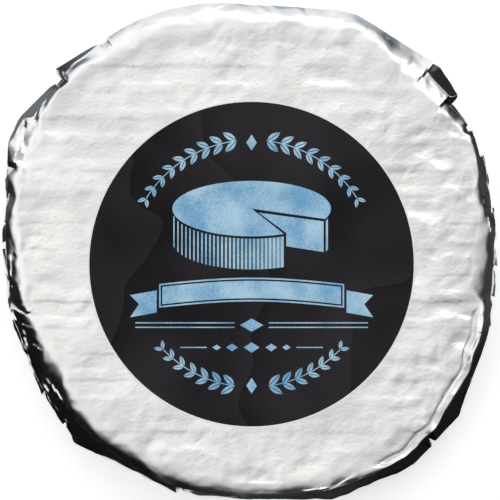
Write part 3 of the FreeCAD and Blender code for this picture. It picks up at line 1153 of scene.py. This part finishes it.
# The wheel of cheese: its top, its side in upright strokes that widen to the light, and
# the cut that faces the viewer.
WHEEL_AT = (0.0, 21.0)
WHEEL_WIDE, WHEEL_DEEP, WHEEL_TALL = 30.0, 10.5, 12.5
CUT_FROM, CUT_TO = -66.0, -22.0
STROKE_PITCH = 1.5
LINE_GAP = 0.9


def rim_of_wheel(x):
    """Level of the near rim of the wheel's top."""
    return WHEEL_AT[1] - WHEEL_DEEP * math.sqrt(max(0.0, 1 - (x / WHEEL_WIDE) ** 2))


def side_stroke(x, width):
    """One upright stroke of the wheel's side, its ends along the rim."""
    ends = (x, min(x + width, WHEEL_WIDE - 0.05))
    above = [(at, rim_of_wheel(at) - LINE_GAP) for at in ends]
    return above + [(at, rim_of_wheel(at) - WHEEL_TALL) for at in reversed(ends)]


wheel_print = [arc(WHEEL_AT, WHEEL_WIDE, WHEEL_DEEP, CUT_TO, 360 + CUT_FROM, 60) + [WHEEL_AT]]
cut_left = arc(WHEEL_AT, WHEEL_WIDE, WHEEL_DEEP, CUT_FROM, CUT_FROM + 1, 1)[0]
cut_right = arc(WHEEL_AT, WHEEL_WIDE, WHEEL_DEEP, CUT_TO, CUT_TO + 1, 1)[0]
strokes = int((cut_left[0] + WHEEL_WIDE) / STROKE_PITCH)
for i in range(strokes):
    to_light = i / (strokes - 1)
    x = cut_left[0] - (strokes - i) * STROKE_PITCH + 0.2
    wheel_print.append(side_stroke(x, 0.45 + 0.8 * to_light))
wheel_print.append(side_stroke(cut_right[0] + 0.25, 0.8))
slope = (cut_right[1] - WHEEL_AT[1]) / (cut_right[0] - WHEEL_AT[0])
# The cut face, a line's width inside the rim and the strokes.
wheel_print.append([
    (2.6, WHEEL_AT[1] - 1.5), (cut_right[0] - 0.6, cut_right[1] - LINE_GAP),
    (cut_right[0] - 0.6, cut_right[1] - WHEEL_TALL),
    (cut_left[0] + 0.9, WHEEL_AT[1] + slope * cut_left[0] - WHEEL_TALL),
    (cut_left[0] + 0.9, cut_left[1] + 0.4),
])
ink_shape("print_wheel", wheel_print)

# The blank ribbon, with a line round it, and its folded tails.
RIBBON_LEVEL, RIBBON_HALF, RIBBON_TALL, RIBBON_BEND = -7.5, 35.0, 9.0, 2.4
RIBBON_LINE, RIBBON_INSET, LAP = 0.6, 1.2, 0.02
RIBBON_STEPS = 40
RIBBON_TAIL = ((0.9, -2.4), (11.0, -4.2), (7.6, -7.6), (11.0, -12.6), (0.9, -10.8))


def ribbon_strip(inset, high, low):
    """A strip of the ribbon between two heights, bent as the ribbon is."""
    half = RIBBON_HALF - inset
    line = []
    for i in range(RIBBON_STEPS + 1):
        x = -half + 2 * half * i / RIBBON_STEPS
        line.append((x, RIBBON_LEVEL + RIBBON_BEND * math.cos(math.pi * x / 2 / RIBBON_HALF)))
    return [(x, y + high) for x, y in line] + [(x, y + low) for x, y in reversed(line)]


top, bottom = RIBBON_LEVEL - RIBBON_LINE, RIBBON_LEVEL - RIBBON_TALL + RIBBON_LINE
end_bar = bar(RIBBON_HALF - RIBBON_LINE, RIBBON_HALF, bottom + LAP, top - LAP)
tail = [(RIBBON_HALF + x, RIBBON_LEVEL + y) for x, y in RIBBON_TAIL]
ink_shape("print_ribbon", [
    ribbon_strip(RIBBON_INSET, -RIBBON_INSET, RIBBON_INSET - RIBBON_TALL),
    ribbon_strip(0, 0, -RIBBON_LINE),
    ribbon_strip(0, RIBBON_LINE - RIBBON_TALL, -RIBBON_TALL),
    end_bar, mirrored(end_bar), tail, mirrored(tail),
])

# Rules, broken by diamonds.
RULE_HALF = 0.22
LONG_RULES = (-22.2, -23.9)
SHORT_RULE = -31.5
DIAMONDS = ((0, 3.0), (7.4, 2.2), (-7.4, 2.2), (13.2, 1.6), (-13.2, 1.6))

rules = []
for level in LONG_RULES:
    rules.append(bar(-44, -6.5, level - RULE_HALF, level + RULE_HALF))
    rules.append(bar(6.5, 44, level - RULE_HALF, level + RULE_HALF))
rules.append(diamond(0, sum(LONG_RULES) / 2, 4.4, 2.5))
for x, wide in DIAMONDS:
    rules.append(diamond(x, SHORT_RULE, wide, wide * 0.66))
rules.append(bar(-27, -17.0, SHORT_RULE - RULE_HALF, SHORT_RULE + RULE_HALF))
rules.append(bar(17.0, 27, SHORT_RULE - RULE_HALF, SHORT_RULE + RULE_HALF))
rules.append(diamond(0, 46.0, 2.0, 3.0))
rules.append(diamond(0, -46.0, 2.0, 3.0))
ink_shape("print_rules", rules)

# The sprays: pairs of leaves along a stem that bends round the label. Geometry Nodes
# sets the leaves, smaller towards the tip.
LEAF_HALF = ((0.3, 0.14), (1.5, 0.95), (2.9, 1.25), (4.4, 0.95), (6.0, 0.12))
LEAF_LEAN = 38.0
TIP_SIZE = 0.6
STEM_HALF = 0.18
STEM_STEPS = 24
# Each spray: where it starts and ends round the label, how far out, and its pairs.
SPRAYS = (
    (97.0, 148.0, 47.0, 9), (83.0, 32.0, 47.0, 9), (262.0, 224.0, 46.5, 7), (278.0, 316.0, 46.5, 7),
)

leaf_mesh = bpy.data.meshes.new("one_leaf")
leaf_points, leaf_faces = [], []
for side in (1, -1):
    first = len(leaf_points)
    leaf_points += [(x, side * y, 0) for x, y in LEAF_HALF] + [(3.0, side * 0.14, 0)]
    leaf_faces.append(range(first, first + len(LEAF_HALF) + 1))
leaf_mesh.from_pydata(leaf_points, [], leaf_faces)
one_leaf = bpy.data.objects.new("one_leaf", leaf_mesh)

spray, given = new_tree("leaf_spray", "Leaves", {
    "Leaf": "Object", "Ink": "Material", "Stem Radius": "Float", "Start": "Float", "End": "Float",
    "Pairs": "Int", "Lean": "Float", "Tip Size": "Float",
})
number = add_node(spray, "GeometryNodeInputIndex").outputs[0]
share = maths(spray, "DIVIDE", number, maths(spray, "SUBTRACT", given["Pairs"], 1.0))
turned = maths(spray, "SUBTRACT", given["End"], given["Start"])
angle_at = maths(spray, "MULTIPLY_ADD", turned, share, given["Start"])
spots = add_node(spray, "GeometryNodePoints", {"Count": given["Pairs"]})
stem_spot = add_node(spray, "ShaderNodeCombineXYZ", {
    "X": maths(spray, "MULTIPLY", maths(spray, "COSINE", angle_at), given["Stem Radius"]),
    "Y": maths(spray, "MULTIPLY", maths(spray, "SINE", angle_at), given["Stem Radius"]),
})
on_stem = add_node(spray, "GeometryNodeSetPosition", {
    "Geometry": spots.outputs[0], "Position": stem_spot.outputs[0],
})
heading = maths(spray, "MULTIPLY_ADD", maths(spray, "SIGN", turned), math.pi / 2, angle_at)
shrink = maths(spray, "MULTIPLY_ADD", maths(spray, "SUBTRACT", given["Tip Size"], 1.0), share, 1.0)
leaf_info = add_node(spray, "GeometryNodeObjectInfo", {"Object": given["Leaf"]})
both_sides = add_node(spray, "GeometryNodeJoinGeometry")
for side in (1.0, -1.0):
    tilt = add_node(spray, "ShaderNodeCombineXYZ", {
        "Z": maths(spray, "MULTIPLY_ADD", given["Lean"], side, heading),
    })
    leaves = add_node(spray, "GeometryNodeInstanceOnPoints", {
        "Points": on_stem.outputs["Geometry"], "Instance": leaf_info.outputs["Geometry"],
        "Rotation": tilt.outputs[0], "Scale": shrink,
    })
    feed(both_sides, {"Geometry": leaves.outputs["Instances"]})
end_tree(spray, both_sides.outputs["Geometry"], given["Ink"])

sprays = bmesh.new()
stems = []
for start, end, radius, pairs in SPRAYS:
    sprig = plain_mesh(spray, {
        "Leaf": one_leaf, "Ink": blue_ink, "Stem Radius": radius, "Start": math.radians(start),
        "End": math.radians(end), "Pairs": pairs, "Lean": math.radians(LEAF_LEAN),
        "Tip Size": TIP_SIZE,
    })
    sprays.from_mesh(sprig)
    bpy.data.meshes.remove(sprig)
    outer, inner = radius + STEM_HALF, radius - STEM_HALF
    stem = arc((0, 0), outer, outer, start, end, STEM_STEPS)
    stems.append(stem + arc((0, 0), inner, inner, end, start, STEM_STEPS))
bpy.data.objects.remove(one_leaf)
lay_ink("print_leaves", sprays)
ink_shape("print_stems", stems)

# ---------------------------------------------------------------- floor and light
# A plain pale floor under a pale sky, brighter beyond the top of the label and dark low
# down round the other sides, one wide soft lamp, and a black board on the floor round
# those sides, which gives the foil its dark edge. Only reflections show the board.

FLOOR_HALF = 4.0
FLOOR_TONE = (0.93, 0.93, 0.93, 1)
FLOOR_GLOW = 0.45
MATT = {"Roughness": 0.9, "Specular IOR Level": 0.0}

floor_corners = bar(-FLOOR_HALF, FLOOR_HALF, -FLOOR_HALF, FLOOR_HALF)
floor_mesh = bpy.data.meshes.new("floor")
floor_mesh.from_pydata([(x, y, 0) for x, y in floor_corners], [], [(0, 1, 2, 3)])
floor = set_up("floor", floor_mesh)
floor_material, tree, surface = new_material("floor")
ray = add_node(tree, "ShaderNodeLightPath").outputs
seen = maths(tree, "ADD", ray["Is Camera Ray"], ray["Is Glossy Ray"])
seen = maths(tree, "ADD", seen, ray["Is Transmission Ray"])
feed(surface, {
    "Base Color": FLOOR_TONE, "Emission Color": (1, 1, 1, 1),
    "Emission Strength": maths(tree, "MULTIPLY", seen, FLOOR_GLOW), **MATT,
})
floor_mesh.materials.append(floor_material)

# How bright the sky is away from and towards the top of the label, and how it falls to
# the dark: the dark stands higher towards +Y and lower towards +X.
SKY_TONES = (0.57, 1.08)
SKY_SPAN = (-0.55, 0.33)
SKY_SIDE = -0.95
DARK_TILT = 0.6
DARK_RIGHT = -0.21
DARK_SPAN = (0.06, 0.70)
DARK_TONES = (0.02, 0.08)
DARK_CORNER = -0.09
DARKEST = 0.006
SKY_BLUE = (0.68, 0.73, 0.80, 1)
SKY_WHITE = (1.0, 0.995, 0.985, 1)
BLUE_UP_TO = 0.6

world = bpy.data.worlds.new("studio")
bpy.context.scene.world = world
world.use_nodes = True
sky = world.node_tree
place = add_node(sky, "ShaderNodeTexCoord").outputs["Generated"]
split = add_node(sky, "ShaderNodeSeparateXYZ", {"Vector": place}).outputs
x, y, z = split["X"], split["Y"], split["Z"]
level = map_range(sky, maths(sky, "MULTIPLY_ADD", x, SKY_SIDE, y), SKY_SPAN, SKY_TONES)
y_bent = maths(sky, "MULTIPLY", y, maths(sky, "ABSOLUTE", y))
height = maths(sky, "MULTIPLY_ADD", y_bent, DARK_TILT, z)
height = maths(sky, "MULTIPLY_ADD", maths(sky, "MAXIMUM", x, 0.0), DARK_RIGHT, height)
dark = map_range(sky, x, (-1.0, 1.0), DARK_TONES)
dark = maths(sky, "MULTIPLY_ADD", maths(sky, "MULTIPLY", x, y), DARK_CORNER, dark)
dark = maths(sky, "MAXIMUM", dark, DARKEST)
shade = map_range(sky, height, DARK_SPAN, (dark, 1.0), interpolation_type="SMOOTHSTEP")
feed(sky.nodes["Background"], {
    "Strength": maths(sky, "MULTIPLY", level, shade),
    "Color": mix(sky, map_range(sky, z, (0.0, BLUE_UP_TO)), SKY_BLUE, SKY_WHITE),
})

LAMP_WIDE = 1.4
LAMP_TALL = 0.8
LAMP_POWER = 3.2
LAMP_AT = (0.42, 1.0, 1.15)
LAMP_AIM = Vector((0, 0, 0.01))

lamp_data = bpy.data.lights.new("softbox", "AREA")
lamp_data.shape = "RECTANGLE"
lamp_data.size = LAMP_WIDE
lamp_data.size_y = LAMP_TALL
lamp_data.energy = LAMP_POWER
lamp = set_up("softbox", lamp_data)
lamp.location = LAMP_AT
lamp.rotation_euler = (LAMP_AIM - lamp.location).to_track_quat("-Z", "Y").to_euler()

BOARD_FAR = 3.8
BOARD_LEVEL = 0.0008
BOARD_STEPS = 120
BOARD_TINT = (0.9, 1.0, 1.12)
# The board round the pack: (angle, where it starts in metres, its tone).
BOARD = (
    (0, 0.101, 0.085), (20, 0.101, 0.06), (44, 0.101, 0.03), (52, 0.110, 0.50), (60, 0.110, 0.62),
    (116, 0.110, 0.62), (124, 0.104, 0.25), (137, 0.104, 0.03), (141, 0.104, 0.22),
    (148, 0.104, 0.22), (153, 0.104, 0.22), (165, 0.104, 0.15), (178, 0.101, 0.03),
    (200, 0.101, 0.008), (245, 0.101, 0.008), (260, 0.101, 0.04), (290, 0.101, 0.04),
    (302, 0.101, 0.012), (335, 0.101, 0.015), (348, 0.101, 0.06),
)
board_points, board_faces, board_tones = [], [], []
for i in range(BOARD_STEPS):
    angle = 360 * i / BOARD_STEPS
    near = float(round_the_wheel([(a, r) for a, r, _ in BOARD], np.array([angle]))[0])
    tone = float(round_the_wheel([(a, t) for a, _, t in BOARD], np.array([angle]))[0])
    turn = math.radians(angle)
    for r in (near, BOARD_FAR):
        board_points.append((r * math.cos(turn), r * math.sin(turn), BOARD_LEVEL))
        board_tones += [*(tone * share for share in BOARD_TINT), 1.0]
    k = (i + 1) % BOARD_STEPS
    board_faces.append((2 * i, 2 * i + 1, 2 * k + 1, 2 * k))
board_mesh = bpy.data.meshes.new("board")
board_mesh.from_pydata(board_points, [], board_faces)
board_layer = board_mesh.attributes.new("tone", "FLOAT_COLOR", "POINT")
board_layer.data.foreach_set("color", board_tones)
board = set_up("board", board_mesh)
board.visible_camera = False
board.visible_diffuse = False
board.visible_transmission = False
board.visible_shadow = False
board_material, tree, surface = new_material("board")
feed(surface, {"Base Color": held(tree, "tone")["Color"], **MATT})
board_mesh.materials.append(board_material)
